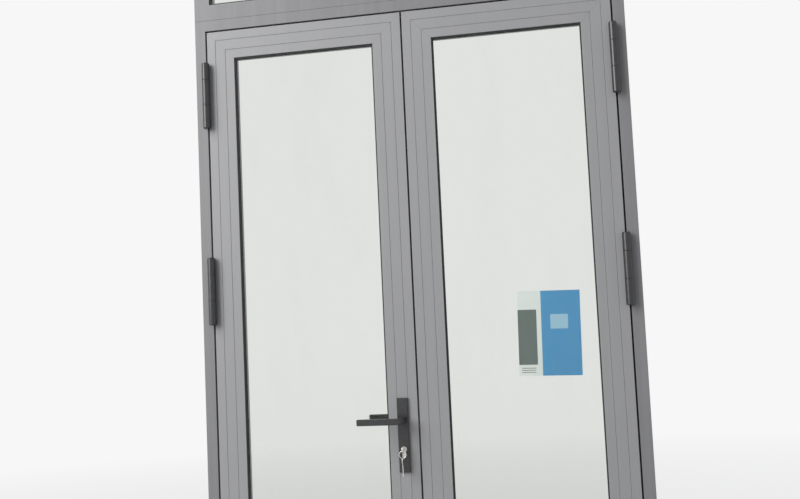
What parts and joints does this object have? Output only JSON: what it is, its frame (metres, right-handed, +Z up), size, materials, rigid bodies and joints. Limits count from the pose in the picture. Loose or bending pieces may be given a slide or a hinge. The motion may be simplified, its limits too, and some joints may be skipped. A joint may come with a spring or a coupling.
{
  "type": "double-leaf glass entrance door",
  "caption": "Outward-opening double-leaf glazed entrance door in an aluminium frame, with a fixed light above, lever handle and cylinder lock.",
  "frame": {"origin": "middle of the threshold's underside, halfway through the frame's depth", "axes": "+Z up, +X to the right as seen from outside, -Y towards the outside, where both leaves open"},
  "size_m": [1.323, 0.184, 2.7],
  "materials": {
    "frame_coat": "grey powder coat, fine texture",
    "leaf_coat": "grey powder coat, fine texture",
    "mill_aluminium": "mill finish",
    "pane_glass": "clear toughened glass with a pale green tint",
    "seal_rubber": "matt black",
    "black_coat": "black coat, satin",
    "lock_steel": "satin",
    "cylinder_nickel": "satin nickel plate",
    "key_nickel": "bright nickel plate",
    "ring_steel": "bright",
    "block_plastic": "plain",
    "sheet_paper": "printed sheet, satin"
  },
  "bodies": {
    "frame": {"jamb_left": "frame_coat", "jamb_right": "frame_coat", "frame_head": "frame_coat", "threshold": "mill_aluminium", "frame_seal": "seal_rubber", "bolt_keepers": "lock_steel", "coupling_screws": "lock_steel", "frame_corner_cleats": "mill_aluminium", "hinge_frame_wings": "black_coat", "hinge_pins": "lock_steel", "transom_sill": "frame_coat", "transom_head": "frame_coat", "transom_jamb_left": "frame_coat", "transom_jamb_right": "frame_coat", "transom_glass": "pane_glass", "transom_beads": "frame_coat", "transom_gaskets": "seal_rubber", "transom_setting_blocks": "block_plastic"},
    "left_leaf": {"left_hinge_stile": "leaf_coat", "left_lock_stile": "leaf_coat", "left_top_rail": "leaf_coat", "left_bottom_rail": "leaf_coat", "left_glass": "pane_glass", "left_beads": "leaf_coat", "left_gaskets": "seal_rubber", "left_setting_blocks": "block_plastic", "left_corner_cleats": "mill_aluminium", "left_hinge_wings": "black_coat", "backplate_outer": "black_coat", "backplate_inner": "black_coat", "lock_screws": "lock_steel", "lock_case": "lock_steel", "cylinder_body": "cylinder_nickel", "inner_plug": "cylinder_nickel"},
    "lever": {"outer_lever": "black_coat", "inner_lever": "black_coat", "spindle": "lock_steel", "lock_follower": "lock_steel"},
    "latch": {"latch_bolt": "lock_steel"},
    "key_set": {"outer_plug": "cylinder_nickel", "key": "key_nickel", "key_ring": "ring_steel", "spare_key": "key_nickel"},
    "deadbolt_slider": {"deadbolt": "lock_steel"},
    "right_leaf": {"right_hinge_stile": "leaf_coat", "right_meeting_stile": "leaf_coat", "right_top_rail": "leaf_coat", "right_bottom_rail": "leaf_coat", "right_glass": "pane_glass", "right_beads": "leaf_coat", "right_gaskets": "seal_rubber", "right_setting_blocks": "block_plastic", "right_corner_cleats": "mill_aluminium", "right_hinge_wings": "black_coat", "meeting_seal": "seal_rubber", "strike_plate": "lock_steel", "flush_bolt_cases": "lock_steel", "glass_label": "sheet_paper"},
    "top_shoot": {"top_bolt": "lock_steel"},
    "bottom_shoot": {"bottom_bolt": "lock_steel"}
  },
  "joints": [
    {"name": "left_leaf_swing", "type": "hinge", "parent": "frame", "child": "left_leaf", "pos_m": [-0.625, -0.0405, 1.141], "axis": [0, 0, -1], "range_deg": [0, 100]},
    {"name": "right_leaf_swing", "type": "hinge", "parent": "frame", "child": "right_leaf", "pos_m": [0.625, -0.0405, 1.141], "axis": [0, 0, 1], "range_deg": [0, 100]},
    {"name": "lever_turn", "type": "hinge", "parent": "left_leaf", "child": "lever", "pos_m": [-0.0475, -0.0045, 1.032], "axis": [0, -1, 0], "range_deg": [0, 45], "stiffness_Nm_per_rad": 1.5, "springref_deg": -20.05},
    {"name": "latch_slide", "type": "slide", "parent": "left_leaf", "child": "latch", "axis": [1, 0, 0], "range_m": [0, 0.012]},
    {"name": "key_turn", "type": "hinge", "parent": "left_leaf", "child": "key_set", "pos_m": [-0.0475, -0.0045, 0.947], "axis": [0, 1, 0], "range_deg": [0, 360]},
    {"name": "deadbolt_slide", "type": "slide", "parent": "left_leaf", "child": "deadbolt_slider", "axis": [1, 0, 0], "range_m": [0, 0.02]},
    {"name": "top_bolt_slide", "type": "slide", "parent": "right_leaf", "child": "top_shoot", "axis": [0, 0, 1], "range_m": [0, 0.018]},
    {"name": "bottom_bolt_slide", "type": "slide", "parent": "right_leaf", "child": "bottom_shoot", "axis": [0, 0, -1], "range_m": [0, 0.018]}
  ],
  "couplings": [
    {"joint": "key_turn", "follows": "deadbolt_slide", "rad_per_m": 314.16}
  ]
}
